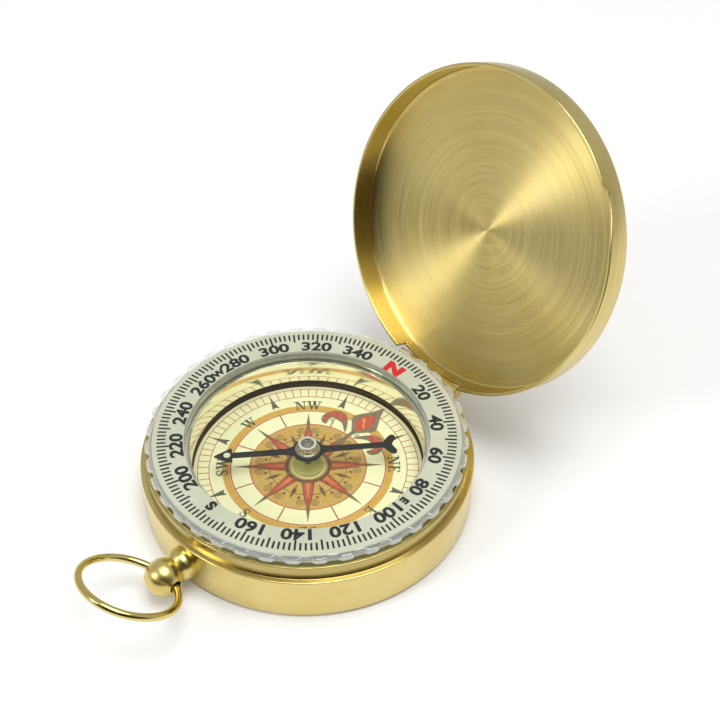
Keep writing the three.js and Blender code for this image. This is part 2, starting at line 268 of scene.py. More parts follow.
# Turning marks: the angle round the piece goes to a small circle, so that they close on
# themselves, and the distance along the profile is divided by the pitch of the marks.
def turningSpot(tree, arcs, pitch):
    uv = addNode(tree, "ShaderNodeUVMap", uv_map="turning").outputs[0]
    parts = addNode(tree, "ShaderNodeSeparateXYZ", {0: uv})
    angle = mathNode(tree, "MULTIPLY", parts.outputs[0], 2 * pi)
    x = mathNode(tree, "MULTIPLY", mathNode(tree, "COSINE", angle), arcs)
    y = mathNode(tree, "MULTIPLY", mathNode(tree, "SINE", angle), arcs)
    z = mathNode(tree, "DIVIDE", parts.outputs[1], pitch)
    return addNode(tree, "ShaderNodeCombineXYZ", {0: x, 1: y, 2: z}).outputs[0]


def bumpOf(tree, height, distance, strength=1.0):
    inputs = {"Height": height, "Distance": distance, "Strength": strength}
    return addNode(tree, "ShaderNodeBump", inputs).outputs[0]


def outputOf(tree, shader):
    addNode(tree, "ShaderNodeOutputMaterial", {"Surface": shader})


# Brass: two tones by a slow noise, roughness by a finer one, and hair scratches as bump.
# With a tangent it is turned or spun: the gloss stretches across marks that run round the piece.
brassLook = {
    "pale": shade(227, 210, 141),
    "deep": shade(215, 196, 120),
    "pinkish": shade(223, 196, 136),
    "dark": shade(150, 134, 78),
}


# 1 between two distances along a turned profile, 0 outside, over 0.4 mm at each end.
def stretchOf(tree, start, end):
    uv = addNode(tree, "ShaderNodeUVMap", uv_map="turning").outputs[0]
    distance = addNode(tree, "ShaderNodeSeparateXYZ", {0: uv}).outputs[1]
    inside = spread(tree, distance, 0, 1, start * mm, (start + 0.4) * mm)
    outside = spread(tree, distance, 1, 0, (end - 0.4) * mm, end * mm)
    return mathNode(tree, "MULTIPLY", inside, outside)


# Polished and painted shade are stretches of the profile: (start, end, share of the roughness kept)
# and (start, end, share of the dark tone painted in as shade).
def brassFinish(name, roughness, spun=0.0, pitch=0.25, marks=1.4, wear=0.04, rings=0.0, polished=None,
                paintedShade=None):
    made, tree = newFinish(name)
    spot = objectSpot(tree)
    slow = noiseOf(tree, spot, 90, 2)
    fine = noiseOf(tree, spot, 2600, 3)
    colour = blendTones(tree, spread(tree, slow, 0, 1), brassLook["pale"], brassLook["deep"])
    if spun:
        ringMarks = noiseOf(tree, turningSpot(tree, 1.1, pitch * mm), 1.0, 4, 0.65)
        slowMarks = noiseOf(tree, turningSpot(tree, 0.5, 1.3 * mm), 1.0, 2)
        colour = blendTones(tree, spread(tree, slowMarks, 0, 0.35), colour, brassLook["pinkish"])
        broad = noiseOf(tree, turningSpot(tree, 0.5, 0.45 * mm), 1.0, 4, 0.7)
        colour = blendTones(tree, spread(tree, broad, rings, 0), colour, brassLook["dark"])
        level = spread(tree, ringMarks, roughness - wear, roughness + wear)
        level = mathNode(tree, "ADD", level, spread(tree, broad, rings * 0.25, rings * -0.1))
        if polished:
            share = stretchOf(tree, *polished[:2])
            level = mathNode(tree, "MULTIPLY", level, spread(tree, share, 1, polished[2], 0, 1))
        # painted shade: the stretch is blended towards the dark tone
        if paintedShade:
            share = stretchOf(tree, *paintedShade[:2])
            colour = blendTones(tree, spread(tree, share, 0, paintedShade[2], 0, 1), colour, brassLook["dark"])
        normal = bumpOf(tree, ringMarks, marks * 1e-6)
        tangent = addNode(tree, "ShaderNodeTangent", direction_type="UV_MAP", uv_map="turning").outputs[0]
        extra = {"Anisotropic": spun, "Anisotropic Rotation": 0.25, "Tangent": tangent}
    else:
        level = spread(tree, fine, roughness - wear, roughness + wear)
        normal = bumpOf(tree, fine, marks * 1e-6)
        extra = {}
    shader = addNode(tree, "ShaderNodeBsdfPrincipled", {
        "Base Color": colour, "Metallic": 1.0, "Roughness": level, "Normal": normal, **extra,
    })
    outputOf(tree, shader.outputs[0])
    return made


# Moulded, cast or rubbery finishes: a mottled colour, an uneven gloss and a fine surface grain.
def plainFinish(name, pale, deep, roughness, grain=900, depth=4e-6, metallic=0.0, mottle=120):
    made, tree = newFinish(name)
    spot = objectSpot(tree)
    slow = noiseOf(tree, spot, mottle, 3)
    fine = noiseOf(tree, spot, grain, 4)
    shader = addNode(tree, "ShaderNodeBsdfPrincipled", {
        "Base Color": blendTones(tree, spread(tree, slow, 0, 1), pale, deep),
        "Metallic": metallic,
        "Roughness": spread(tree, fine, roughness - 0.06, roughness + 0.06),
        "Normal": bumpOf(tree, fine, depth),
    })
    outputOf(tree, shader.outputs[0])
    return made


# Clear sheet or moulding seen straight through, with a sheen of least + 0.7 (1 - cosine) ^ power.
# Milk is the share of the sheen that scatters white instead of mirroring: a painted sheen, whitest where
# faces turn away.
def paneFinish(name, tint, least=0.04, power=5.0, milk=0.0):
    made, tree = newFinish(name)
    smears = noiseOf(tree, objectSpot(tree), 160, 3)
    through = addNode(tree, "ShaderNodeBsdfTransparent", {"Color": tint})
    sheen = addNode(tree, "ShaderNodeBsdfPrincipled", {
        "Base Color": blendTones(tree, spread(tree, smears, 0, 1), shade(255, 255, 255),
                                 shade(246, 250, 246)),
        "Metallic": 1.0 - milk,
        "Roughness": spread(tree, smears, 0.01, 0.06),
    })
    facing = addNode(tree, "ShaderNodeLayerWeight", {"Blend": 0.5}).outputs["Facing"]
    grazing = mathNode(tree, "MULTIPLY", mathNode(tree, "POWER", facing, power), 0.7)
    amount = mathNode(tree, "ADD", grazing, least)
    mixed = addNode(tree, "ShaderNodeMixShader", {0: amount, 1: through.outputs[0], 2: sheen.outputs[0]})
    outputOf(tree, mixed.outputs[0])
    return made


# Printing ink: a flat film with a slight unevenness of tone.
def inkFinish(name, colour, weak=0.85, roughness=0.5):
    made, tree = newFinish(name)
    spot = objectSpot(tree)
    blotch = noiseOf(tree, spot, 1400, 3)
    faded = tuple(c + (1 - c) * (1 - weak) * 0.5 for c in colour[:3]) + (1.0,)
    shader = addNode(tree, "ShaderNodeBsdfPrincipled", {
        "Base Color": blendTones(tree, spread(tree, blotch, 0, 1), colour, faded),
        "Roughness": spread(tree, blotch, roughness - 0.08, roughness + 0.08),
    })
    outputOf(tree, shader.outputs[0])
    return made


spunLid = brassFinish("spunLid", 0.37, spun=0.88, pitch=0.2, marks=7, wear=0.1, rings=0.26,
                      polished=(25, 33.6, 0.6))
# the case's shoulder and lip carry painted shade, a darker tone over that stretch of the profile
wallBrass = brassFinish("wallBrass", 0.23, spun=0.45, pitch=0.35, marks=0.8, paintedShade=(32.6, 35.5, 0.55))
crownBrass = brassFinish("crownBrass", 0.3, spun=0.35, pitch=0.3, marks=0.8)
wireBrass = brassFinish("wireBrass", 0.14, marks=0.5)
hingeBrass = brassFinish("hingeBrass", 0.28, marks=1.0)
nutBrass = brassFinish("nutBrass", 0.35)
bossBrass = plainFinish("bossBrass", shade(196, 190, 110), shade(178, 170, 92), 0.5, grain=1800, depth=2e-6)
pinSteel = plainFinish("pinSteel", shade(200, 202, 206), shade(176, 178, 182), 0.22, metallic=1.0,
                       depth=5e-7)
mirrorSilver = plainFinish("mirrorSilver", shade(252, 249, 236), shade(247, 243, 226), 0.10,
                           metallic=1.0, depth=4e-7)
# dark brown, painted as the shadow in the gap between the dial and the silvered wall
cupBrown = plainFinish("cupBrown", shade(92, 70, 34), shade(70, 52, 24), 0.45)
padFelt = plainFinish("padFelt", shade(70, 68, 58), shade(48, 46, 40), 0.92, grain=4000, depth=3e-5)
# olive, partly the ring's own tint and partly painted shade for the band under the bezel's teeth
carrierOlive = plainFinish("carrierOlive", shade(150, 152, 112), shade(128, 130, 92), 0.5)
frictionBlack = plainFinish("frictionBlack", shade(34, 34, 33), shade(24, 24, 24), 0.8, depth=8e-6)
dialCard = plainFinish("dialCard", shade(255, 251, 216), shade(253, 247, 204), 0.5, grain=2500, depth=2e-6)
scaleCard = plainFinish("scaleCard", shade(200, 202, 180), shade(186, 190, 166), 0.55, grain=2500,
                        depth=2e-6)
needleBlack = plainFinish("needleBlack", shade(20, 19, 19), shade(13, 13, 13), 0.5, depth=1e-6)
jewelGrey = plainFinish("jewelGrey", shade(158, 146, 128), shade(126, 112, 94), 0.25, depth=5e-7)
# painted shade for the recess of the clear needle cap
cupShade = plainFinish("cupShade", shade(60, 50, 38), shade(44, 36, 28), 0.4)
lumePaint = plainFinish("lumePaint", shade(226, 226, 204), shade(208, 208, 186), 0.6)
# milk paints a white sheen on the clear lobes
bezelClear = paneFinish("bezelClear", shade(252, 254, 250), 0.23, 1.9, milk=0.7)
capClear = paneFinish("capClear", shade(244, 242, 236), 0.14, 2.0, milk=0.3)
# painted highlight: a bright milky finish for the glint on the cap's rim
capGlint = paneFinish("capGlint", shade(250, 250, 246), 0.6, 1.0, milk=0.8)
watchGlass = paneFinish("watchGlass", shade(252, 254, 250), 0.02)
inkRed = inkFinish("inkRed", shade(196, 66, 44))
inkFineRed = inkFinish("inkFineRed", shade(186, 84, 52))
inkBright = inkFinish("inkBright", shade(202, 22, 24), 0.96, 0.75)
inkOrange = inkFinish("inkOrange", shade(220, 168, 64))
inkGold = inkFinish("inkGold", shade(206, 160, 62), 0.75)
inkFlame = inkFinish("inkFlame", shade(238, 140, 50))
inkBrown = inkFinish("inkBrown", shade(104, 72, 38))
inkOlive = inkFinish("inkOlive", shade(88, 84, 66))
inkStone = inkFinish("inkStone", shade(128, 110, 84))
inkPale = inkFinish("inkPale", shade(204, 200, 156))
inkBlack = inkFinish("inkBlack", shade(17, 17, 19), 0.95, 0.75)
say("finishes mixed")


# Case: floor, wall, shoulder and the lip that the closed lid slides over. The lip is cut back to
# a flat behind the hinge, and a pocket in the wall takes the hinge's foot.
case = {
    "outer": 25.0, "shoulder": 7.5, "lip": 24.2, "lipTop": 9.8, "bore": 23.5, "floor": 0.9,
    "edge": 0.8, "flat": 24.0, "pocketWall": 23.7, "pocketHalf": 6.35, "pocketLow": 5.6, "pocketTop": 8.5,
}


def caseShell():
    c = case
    profile = rounded([
        (0, 0.12), (3, 0.05), (20, 0), (c["outer"], 0, c["edge"]), (c["outer"], c["pocketLow"] - 0.02, 0),
        (c["outer"], c["pocketLow"] + 0.02, 0), (c["outer"], c["shoulder"], 0.16),
        (c["lip"], c["shoulder"], 0.08), (c["lip"], c["pocketTop"] - 0.02, 0),
        (c["lip"], c["pocketTop"] + 0.02, 0), (c["lip"], c["lipTop"], 0.14), (c["bore"], c["lipTop"], 0.1),
        (c["bore"], c["floor"], 0.3), (0, c["floor"]),
    ], 0.1, 5)
    edge = math.atan(c["pocketHalf"] / c["pocketWall"])
    even = np.linspace(0, 2 * pi, 288, endpoint=False)
    sides = pi / 2 + np.array([-edge - 0.002, -edge + 0.002, edge - 0.002, edge + 0.002])
    angles = np.sort(np.concatenate([even, sides]))

    # near the hinge the radius is held to a flat: r = flat / sin t
    def cutBack(r, z, t):
        side = np.maximum(np.sin(t), 1e-3)
        across = np.abs(np.cos(t)) / side * c["pocketWall"]
        near = (np.sin(t) > 0) & (across < c["pocketHalf"])
        pocket = near & (z > c["pocketLow"]) & (z < c["pocketTop"]) & (r > c["pocketWall"])
        lip = near & (z > c["shoulder"]) & (r > c["bore"] + 0.2)
        r = np.where(lip, np.minimum(r, c["flat"] / side), r)
        return np.where(pocket, np.minimum(r, c["pocketWall"] / side), r), z

    shell = turned("caseShell", profile, wallBrass, angles=angles, bend=cutBack)
    fit(shell, "case", "case_brass", "case_body")


# Lid, worked out closed and then swung open about the hinge line. Its mouth lifts by a function
# of the angle: a square step over the knuckles, a deeper one over the leaf, and the thumb scoop,
# steep at its first side and long at its other.
lid = {
    "outer": 25.0, "inner": 24.5, "mouth": 7.55, "top": 11.95, "ceiling": 11.5, "edge": 0.8, "fillet": 0.4,
    "open": 110.44, "hingeY": 24.95, "hingeZ": 8.42, "cutHalf": 6.8, "cutTop": 9.45, "leafHalf": 2.05,
    "leafTop": 10.57, "band": 0.16, "scoopFrom": 317.0, "scoopFull": 321.0, "scoopTo": 342.0,
    "scoopDeep": 0.85,
}


def openLid(points):
    a = math.radians(-lid["open"])
    y, z = points[:, 1] - lid["hingeY"], points[:, 2] - lid["hingeZ"]
    return np.c_[
        points[:, 0],
        lid["hingeY"] + math.cos(a) * y - math.sin(a) * z,
        lid["hingeZ"] + math.sin(a) * y + math.cos(a) * z,
    ]


def lidShell():
    c = lid
    steps = np.linspace(0, c["outer"] - 2, 14)
    profile = rounded(
        [(r, c["top"] - 0.0001 * (r > 0)) for r in steps]
        + [(c["outer"], c["top"], c["edge"]), (c["outer"], c["mouth"], 0.12),
           (c["inner"], c["mouth"], 0.12)]
        + [(c["inner"], c["ceiling"], c["fillet"])]
        + [(r, c["ceiling"]) for r in steps[::-1]], 0, 5)
    edges = [math.asin(c["cutHalf"] / c["outer"]), math.asin(c["leafHalf"] / c["outer"])]
    even = np.linspace(0, 2 * pi, 360, endpoint=False)
    sides = [pi / 2 + sign * e + off for e in edges for sign in (-1, 1) for off in (-0.0015, 0.0015)]
    angles = np.sort(np.concatenate([even, sides, np.radians(np.linspace(317.2, 320.8, 13))]))

    # z = mouth's height + the share of the wall that is left, so that the rows below the fillet
    # close up; the mouth's rounded band only lifts. The scoop is the product of two smooth steps,
    # 3 u^2 - 2 u^3.
    def liftMouth(r, z, t):
        across = np.abs(np.cos(t)) * c["outer"]
        behind = np.sin(t) > 0
        mouth = np.where(behind & (across < c["cutHalf"]), c["cutTop"], c["mouth"])
        mouth = np.where(behind & (across < c["leafHalf"]), c["leafTop"], mouth)
        turn = np.degrees(t)
        down = np.clip((turn - c["scoopFrom"]) / (c["scoopFull"] - c["scoopFrom"]), 0, 1)
        back = np.clip((c["scoopTo"] - turn) / (c["scoopTo"] - c["scoopFull"]), 0, 1)
        mouth = mouth + c["scoopDeep"] * (3 - 2 * down) * down ** 2 * (3 - 2 * back) * back ** 2
        rise = z - c["mouth"]
        high = c["ceiling"] - c["fillet"]
        share = (rise - c["band"]) / (high - c["mouth"] - c["band"])
        squeezed = mouth + c["band"] + share * (high - mouth - c["band"])
        lifted = np.where(rise < c["band"], mouth + rise, squeezed)
        return r, np.where((z < high) & (r > 20), lifted, z)

    shell = turned("lidShell", profile, spunLid, angles=angles, bend=liftMouth, place=openLid)
    fit(shell, "lid", "lid_brass", "lid_shell")


# Crown: a ball bored across for the bow, its shank, and a collar against the case.
crown = {
    "azimuth": -85.0, "out": 28.9, "height": 4.03, "ball": 2.78, "hole": 0.95, "shank": 0.8,
    "collar": [(0.85, -4.2), (2.3, -4.2), (2.5, -3.3), (2.42, -2.7), (2.05, -2.1), (1.5, -1.62),
               (0.85, -1.62)],
}


def atCrown(points):
    moved = points + np.array([crown["out"], 0, crown["height"]])
    return turnZ(moved, crown["azimuth"])


def crownPieces():
    c = crown
    tilt = np.linspace(-1, 1, 41) * math.acos(c["hole"] / c["ball"] + 0.02)
    rim = c["ball"] * math.sin(tilt[-1])
    barrel = [(c["ball"] * math.cos(a), c["ball"] * math.sin(a)) for a in tilt]
    bore = [(c["hole"], h) for h in np.linspace(rim - 0.06, -rim + 0.06, 6)]
    across = lambda p: atCrown(np.c_[p[:, 0], p[:, 2], p[:, 1]])
    outward = lambda p: atCrown(np.c_[p[:, 2], p[:, 1], -p[:, 0]])
    ball = turned("crownBall", barrel + bore, crownBrass, 96, ringSection=True, place=across)
    fit(ball, "case", "crown_brass", "crown_ball")
    shank = turned("crownShank", [(0, -6.65), (c["shank"], -6.65), (c["shank"], -1.2), (0, -1.2)],
                   crownBrass, 32, place=outward)
    fit(shank, "case", "crown_brass")
    collar = turned("crownCollar", section(c["collar"], 0.22), crownBrass, 96, ringSection=True,
                    place=outward)
    fit(collar, "case", "crown_brass", "crown_collar")


# Bow: a wire carried round a circle. Ring point = centre + circle, wire = ring + small circle.
bow = {"radius": 7.1, "wire": 0.58, "raise": 29.5, "sag": 0.567, "stations": 160, "sides": 20}


def bowRing():
    c = bow
    t, a = (np.linspace(0, 2 * pi, count, endpoint=False) for count in (c["stations"], c["sides"]))
    t, a = np.meshgrid(t, a)
    r = c["radius"] + c["wire"] * np.cos(a)
    grid = np.stack([c["radius"] - c["sag"] / 2 + r * np.cos(t), r * np.sin(t), c["wire"] * np.sin(a)], 2)
    lift = math.radians(c["raise"])
    points = grid.reshape(-1, 3)
    x, z = points[:, 0], points[:, 2]
    raised = np.c_[x * math.cos(lift) - z * math.sin(lift), points[:, 1],
                   x * math.sin(lift) + z * math.cos(lift)]
    grid = atCrown(raised).reshape(grid.shape)
    verts, faces, uvs = gridFaces(grid * mm, True, np.arange(c["sides"]) * c["wire"] * 0.3 * mm)
    wire = makeMesh("bowRing", verts, faces, uvs, wireBrass)
    fit(wire, "bow", "bow_brass", "bow_ring")


# Capsule: cup, silvered wall, dial plate, boss and pivot.
capsule = {
    "cup": 19.4, "cupBore": 18.5, "cupLow": 2.9, "cupFloor": 3.9, "cupTop": 9.2,
    "dial": 17.4, "dialTop": 4.4,
    "mirror": 17.5, "mirrorLow": 5.7, "mirrorTop": 9.7, "boss": 2.4, "pin": 0.35, "pinTip": 8.4,
}


def capsulePieces():
    c = capsule
    # the cup's dark brown is painted shade, seen in the gap between the dial and the silvered wall
    cup = turned("capsuleCup", rounded([
        (0, c["cupLow"]), (c["cup"], c["cupLow"], 0.4), (c["cup"], c["cupTop"]),
        (c["cupBore"], c["cupTop"]),
        (c["cupBore"], c["cupFloor"], 0.3), (0, c["cupFloor"]),
    ], 0.05), cupBrown)
    fit(cup, "case", "cup", "capsule_cup")
    wall = turned("mirrorWall", section([
        (c["mirror"], c["mirrorLow"]), (c["cupBore"] - 0.1, c["mirrorLow"]),
        (c["cupBore"] - 0.1, c["cupTop"]),
        (c["cup"], c["cupTop"]), (c["cup"], c["mirrorTop"]), (c["mirror"], c["mirrorTop"]),
    ], 0.06), mirrorSilver, ringSection=True)
    fit(wall, "case", "mirror", "mirror_ring")
    dial = turned("dialPlate", section([
        (1.0, c["cupFloor"]), (c["dial"], c["cupFloor"]), (c["dial"], c["dialTop"]), (1.0, c["dialTop"]),
    ], 0.05), dialCard, ringSection=True)
    fit(dial, "case", "dial_card", "dial_plate")
    top = c["dialTop"]
    boss = turned("pivotBoss", section([
        (0.4, c["cupFloor"]), (0.9, c["cupFloor"]), (0.9, top + 0.03), (c["boss"], top + 0.03),
        (c["boss"], top + 0.34),
        (2.0, top + 0.55), (1.1, top + 0.8), (0.4, top + 0.8),
    ], 0.12), bossBrass, 96, ringSection=True)
    fit(boss, "case", "boss_brass", "pivot_boss")
    pin = turned("pivotPin", rounded([
        (0, c["cupFloor"]), (c["pin"], c["cupFloor"]), (c["pin"], c["pinTip"] - 0.9),
        (0.04, c["pinTip"]), (0, c["pinTip"]),
    ], 0.02), pinSteel, 32)
    fit(pin, "case", "pin_steel", "pivot_pin")


# Dial print, in layers a few hundredths thick. Local y points to north, x to east. An outline is
# copied to each of its bearings, in the layer that puts it above what it crosses.
rose = {
    "turn": 4.5, "base": 4.395, "gold": 8.75, "orange": (11.9, 13.0), "ticks": (14.96, 16.83),
    "divisions": 80, "curlSide": 8.5, "curlAt": 7.5, "bendSide": 12.325,
    "starIn": 3.5, "starOut": 11.3, "starHalf": 0.85,
}


# A turned copy of an outline drawn towards north.
def towards(outline, bearing):
    return turnZ(np.asarray(outline, float), -bearing)


def both(half):
    return half + [(-x, y) for x, y in half[::-1]]


def spike(base, tip, half, waist=0.0):
    return [(-half, base), (-half * waist, (base * 0.45 + tip * 0.55)), (0, tip),
            (half * waist, (base * 0.45 + tip * 0.55)), (half, base)]


def rosePrint():
    c = rose
    low = c["base"]
    layer = lambda n: low + 0.02 + 0.015 * n
    copies = lambda outline, bearings, n: [prism(towards(outline, b), low, layer(n)) for b in bearings]
    eighths, halves = range(0, 360, 45), [22.5 + 45 * k for k in range(8)]
    gold = [flatRing(2.6, c["gold"], low, layer(0))]
    red = [flatRing(c["gold"], c["gold"] + 0.16, low, layer(0)), flatRing(11.68, 11.86, low, layer(0))]
    orange = [flatRing(*c["orange"], low, layer(0))]
    fineRed = [flatRing(c["ticks"][0], c["ticks"][0] + 0.12, low, layer(0)),
               flatRing(c["ticks"][1] - 0.12, c["ticks"][1], low, layer(0))]
    line = [(-0.055, c["ticks"][0]), (0.055, c["ticks"][0]), (0.055, c["ticks"][1]), (-0.055, c["ticks"][1])]
    fineRed += copies(line, [360 / c["divisions"] * k for k in range(c["divisions"])], 1)
    ray = [(-0.1, 8.8), (0.1, 8.8), (0.1, 11.75), (-0.1, 11.75)]
    fineRed += copies(ray, halves, 1)
    brown = [flatRing(5.86, 5.98, low, layer(1)), flatRing(3.0, 3.55, low, layer(5))]
    dart = [(-0.34, 5.4), (0, 7.1), (0.34, 5.4), (0.1, 4.7), (0, 4.1), (-0.1, 4.7)]
    brown += copies(dart, halves, 2)
    bend = [(-0.12, 6.3), (0.12, 6.3), (0.3, 6.9), (0.1, 6.75), (-0.1, 6.75), (-0.3, 6.9)]
    for bearing in eighths:
        for side in (-c["curlSide"], c["curlSide"]):
            spot = towards([(0, c["curlAt"])], bearing + side)[0]
            brown.append(flatRing(0.5, 0.6, low, layer(1), 28, spot))
            brown.append(flatRing(0.2, 0.3, low, layer(1), 20, spot))
        brown += copies(bend, [bearing - c["bendSide"], bearing + c["bendSide"]], 1)
    stone = copies(spike(8.6, c["starOut"], 0.34, 0.42), [b for b in eighths if b], 2)
    dark = copies(spike(c["starIn"], 9.3, c["starHalf"] + 0.1, 0.62), eighths, 3)
    points = copies(spike(c["starIn"], 8.9, c["starHalf"] - 0.08, 0.62), eighths, 4)
    flame = copies(spike(3.6, 7.3, 0.3, 0.5), eighths, 5)
    ridge = copies([(-0.04, 3.5), (0.04, 3.5), (0.02, 9), (-0.02, 9)], eighths, 6)
    wedge = [(-0.55, 13.3), (0, 13.62), (0.55, 13.3), (0.16, 15.3), (0, 16.58), (-0.16, 15.3)]
    olive = copies(wedge, halves, 2)
    for name, parts, ink in (
        ("dialGold", gold, inkGold), ("dialRings", red, inkRed), ("dialOrange", orange, inkOrange),
        ("dialFineRed", fineRed, inkFineRed), ("dialBrown", brown + dark + ridge, inkBrown),
        ("dialSpikes", stone, inkStone), ("dialStar", points, inkRed), ("dialFlames", flame, inkFlame),
        ("dialWedges", olive, inkOlive),
    ):
        fit(gathered(name, parts, ink, c["turn"]), "case", "dial_card")


# A stroke from (x0, y0) to (x1, y1) with its own width at each end.
def stroke(x0, y0, x1, y1, w0, w1=None):
    w1 = w0 if w1 is None else w1
    return [(x0 - w0 / 2, y0), (x0 + w0 / 2, y0), (x1 + w1 / 2, y1), (x1 - w1 / 2, y1)]


# Serif capitals one unit high, as strokes: advance width and outlines.
def serifLetter(letter):
    foot = lambda x, y, w=0.34: stroke(x, y, x, y + 0.06, w)
    if letter == "N":
        return 1.0, [stroke(0.17, 0, 0.17, 1, 0.07), stroke(0.83, 0, 0.83, 1, 0.07),
                     stroke(0.78, 0, 0.22, 1, 0.2),
                     foot(0.17, 0), foot(0.14, 0.94), foot(0.83, 0.94)]
    if letter == "W":
        return 1.36, [stroke(0.45, 0, 0.2, 1, 0.15, 0.19), stroke(0.45, 0, 0.68, 0.94, 0.1, 0.06),
                      stroke(0.91, 0, 0.66, 1, 0.15, 0.19), stroke(0.91, 0, 1.16, 1, 0.1, 0.06),
                      foot(0.2, 0.94), foot(0.68, 0.94), foot(1.16, 0.94, 0.28)]
    if letter == "E":
        return 0.86, [stroke(0.26, 0, 0.26, 1, 0.16), stroke(0.42, 0, 0.42, 0.06, 0.68),
                      stroke(0.42, 0.94, 0.42, 1, 0.66),
                      stroke(0.42, 0.48, 0.42, 0.54, 0.32), stroke(0.74, 0, 0.74, 0.26, 0.06),
                      stroke(0.72, 0.76, 0.72, 1, 0.06), stroke(0.58, 0.38, 0.58, 0.64, 0.05)]
    # S: two arcs of 240 degrees, the upper bowl and then the lower, widest where they meet
    t = np.linspace(0, 1, 26)
    angle = np.where(t < 0.5, math.radians(30) + t * 2 * math.radians(240),
                     math.radians(90) - (t - 0.5) * 2 * math.radians(240))
    x = 0.34 + 0.23 * np.cos(angle)
    y = np.where(t < 0.5, 0.745, 0.255) + 0.235 * np.sin(angle)
    ahead = np.gradient(np.c_[x, y], axis=0)
    ahead /= np.linalg.norm(ahead, axis=1)[:, None]
    half = (0.03 + 0.075 * np.exp(-((t - 0.5) / 0.2) ** 2))[:, None]
    side = np.c_[-ahead[:, 1], ahead[:, 0]] * half
    edgeA, edgeB = np.c_[x, y] + side, np.c_[x, y] - side
    bits = [[edgeA[k], edgeA[k + 1], edgeB[k + 1], edgeB[k]] for k in range(25)]
    return 0.7, bits + [stroke(0.57, 0.7, 0.57, 0.94, 0.05), stroke(0.1, 0.04, 0.1, 0.3, 0.05)]


# Letters along an arc: angle = bearing + x / radius, distance = radius + y.
def arcLetters(word, bearing, foot, height, low, high):
    parts, cursor, outlines = [], 0.0, []
    for letter in word:
        advance, strokes = serifLetter(letter)
        outlines += [np.asarray(s, float) + np.array([cursor, 0]) for s in strokes]
        cursor += advance + 0.06
    middle = (cursor - 0.06) / 2
    for outline in outlines:
        x, y = (outline[:, 0] - middle) * height, outline[:, 1] * height
        t = math.radians(bearing) + x / (foot + height / 2)
        parts.append(prism(np.c_[(foot + y) * np.sin(t), (foot + y) * np.cos(t)], low, high))
    return parts


def dialLetters():
    parts = []
    for k, word in enumerate(("NE", "E", "SE", "S", "SW", "W", "NW")):
        parts += arcLetters(word, 45 * (k + 1), 12.2, 1.75, rose["base"], rose["base"] + 0.09)
    fit(gathered("dialLetters", parts, inkOlive, rose["turn"]), "case", "dial_card")


# Lily at north: diamond, stem and two curling petals, each an outline and a smaller filling.
def lilyPrint():
    low = rose["base"]
    diamond = both([(0, 9.7), (0.5, 10.0), (2.0, 11.7), (2.35, 12.5), (1.9, 13.4), (0.9, 15.0),
                    (0.35, 16.2), (0, 17.0)])
    heart = both([(0, 10.2), (0.5, 10.7), (1.15, 11.7), (1.3, 12.5), (1.05, 13.5), (0.5, 14.3), (0, 14.7)])
    squiggle = [(-0.95, 13.1), (-0.7, 13.35), (-0.1, 12.75), (0.15, 12.2), (0.55, 11.9), (0.8, 11.45),
                (0.55, 11.3), (0.1, 11.75), (-0.25, 12.3), (-0.6, 12.6)]
    petal = [(0.9, 8.9), (1.3, 9.7), (2.0, 10.65), (2.6, 11.35), (3.5, 11.85), (4.4, 11.85), (5.35, 11.2),
             (5.95, 10.0), (5.95, 9.2), (5.6, 8.45), (5.1, 8.15), (4.5, 8.15), (4.35, 8.5), (4.6, 8.85),
             (4.7, 9.3), (4.8, 9.8), (4.6, 10.05), (3.7, 10.1), (2.85, 10.15), (2.15, 9.8), (1.5, 9.3)]
    filling = [(2.3, 10.5), (2.85, 11.3), (3.65, 11.6), (4.5, 11.45), (5.15, 11.0), (5.6, 10.15),
               (5.65, 9.3), (5.4, 8.7), (5.0, 8.45), (4.7, 8.5), (4.85, 9.0), (5.0, 9.65), (4.85, 10.15),
               (4.3, 10.3), (3.0, 10.4)]
    mirror = lambda outline: [(-x, y) for x, y in outline]
    stem = [(-0.28, 5.9), (0.28, 5.9), (0.3, 9.9), (-0.3, 9.9)]
    stone = [prism(o, low, low + 0.11) for o in (diamond, petal, mirror(petal), stem)]
    red = [prism(o, low, low + 0.125) for o in (heart, filling, mirror(filling))]
    yellow = [prism(squiggle, low, low + 0.14)]
    pale = [flatRing(0.01, 0.42, low, low + 0.14, 24, spot) for spot in ((-4.3, 9.55), (0.85, 9.75))]
    for name, parts, ink in (("lilyOutline", stone, inkStone), ("lilyFilling", red, inkRed),
                             ("lilyFlame", yellow, inkFlame), ("lilyDots", pale, inkPale)):
        fit(gathered(name, parts, ink, rose["turn"]), "case", "dial_card")


# Needle: half an outline from tip to tail, mirrored, round a hub with its hole.
needle = {
    "azimuth": -126.0, "low": 7.7, "thick": 0.25, "hub": 2.35, "hole": 1.5, "tip": 14.05, "tail": 13.5,
    "capTop": 9.4, "capFlare": 1.88, "jewel": 0.55,
}


